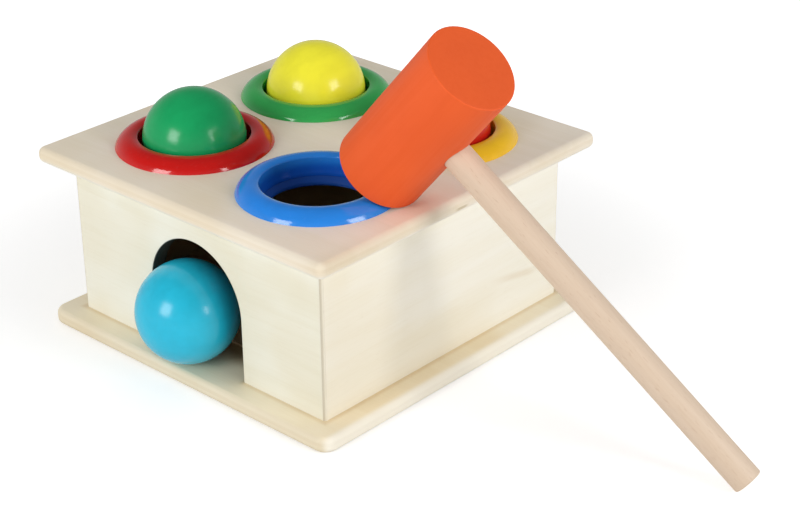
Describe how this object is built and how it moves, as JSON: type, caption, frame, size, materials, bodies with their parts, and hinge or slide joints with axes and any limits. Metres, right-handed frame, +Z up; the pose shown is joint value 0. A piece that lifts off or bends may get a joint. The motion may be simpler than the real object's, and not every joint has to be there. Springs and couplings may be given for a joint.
{
  "type": "ball pounding toy",
  "caption": "Wooden box toy with soft-lipped plastic rings in its top board, painted balls to knock through them, an arch where they roll out and a wooden mallet.",
  "frame": {"origin": "centre of the base board's underside, on the table", "axes": "+Z up, the wall with the arch faces -Y, the mallet leans on the box towards +X"},
  "size_m": [0.2648, 0.1553, 0.1387],
  "materials": {
    "pale_wood": "bare sanded plywood, clear matt coat",
    "board_wood": "bare sanded plywood, clear matt coat",
    "dowel_wood": "bare beech dowel, sanded",
    "red_ring": "glossy moulded plastic",
    "green_ring": "glossy moulded plastic",
    "blue_ring": "glossy moulded plastic",
    "yellow_ring": "glossy moulded plastic",
    "green_paint": "turned wood with gloss lacquer",
    "yellow_paint": "turned wood with gloss lacquer",
    "red_paint": "turned wood with gloss lacquer",
    "sky_paint": "turned wood with gloss lacquer",
    "orange_paint": "turned wood with satin lacquer"
  },
  "bodies": {
    "box": {"base_board": "pale_wood", "front_wall": "pale_wood", "back_wall": "pale_wood", "left_wall": "pale_wood", "right_wall": "pale_wood", "ramp_bearer_left": "pale_wood", "ramp_bearer_right": "pale_wood", "ramp_board": "board_wood", "guide_block_left": "pale_wood", "guide_block_right": "pale_wood", "top_board": "board_wood", "ring_red": "red_ring", "ring_green": "green_ring", "ring_blue": "blue_ring", "ring_yellow": "yellow_ring", "grip_lip_red": "red_ring", "grip_lip_green": "green_ring", "grip_lip_blue": "blue_ring", "grip_lip_yellow": "yellow_ring"},
    "green_ball": {"ball_green": "green_paint"},
    "yellow_ball": {"ball_yellow": "yellow_paint"},
    "red_ball": {"ball_red": "red_paint"},
    "blue_ball": {"ball_blue": "sky_paint"},
    "mallet": {"hammer_head": "orange_paint", "hammer_handle": "dowel_wood"}
  },
  "joints": [
    {"name": "green_ball_drop", "type": "slide", "parent": "box", "child": "green_ball", "axis": [0, 0, 1], "range_m": [-0.0448, 0.045], "deforming": ["grip_lip_red"]},
    {"name": "yellow_ball_drop", "type": "slide", "parent": "box", "child": "yellow_ball", "axis": [0, 0, 1], "range_m": [-0.0337, 0.045], "deforming": ["grip_lip_green"]},
    {"name": "red_ball_drop", "type": "slide", "parent": "box", "child": "red_ball", "axis": [0, 0, 1], "range_m": [-0.0337, 0.045], "deforming": ["grip_lip_yellow"]},
    {"name": "blue_ball_roll", "type": "slide", "parent": "box", "child": "blue_ball", "axis": [0, -1, 0], "range_m": [-0.006, 0.006]},
    {"name": "mallet_lift", "type": "slide", "parent": "box", "child": "mallet", "axis": [0, 0, 1], "range_m": [0, 0.12]}
  ]
}
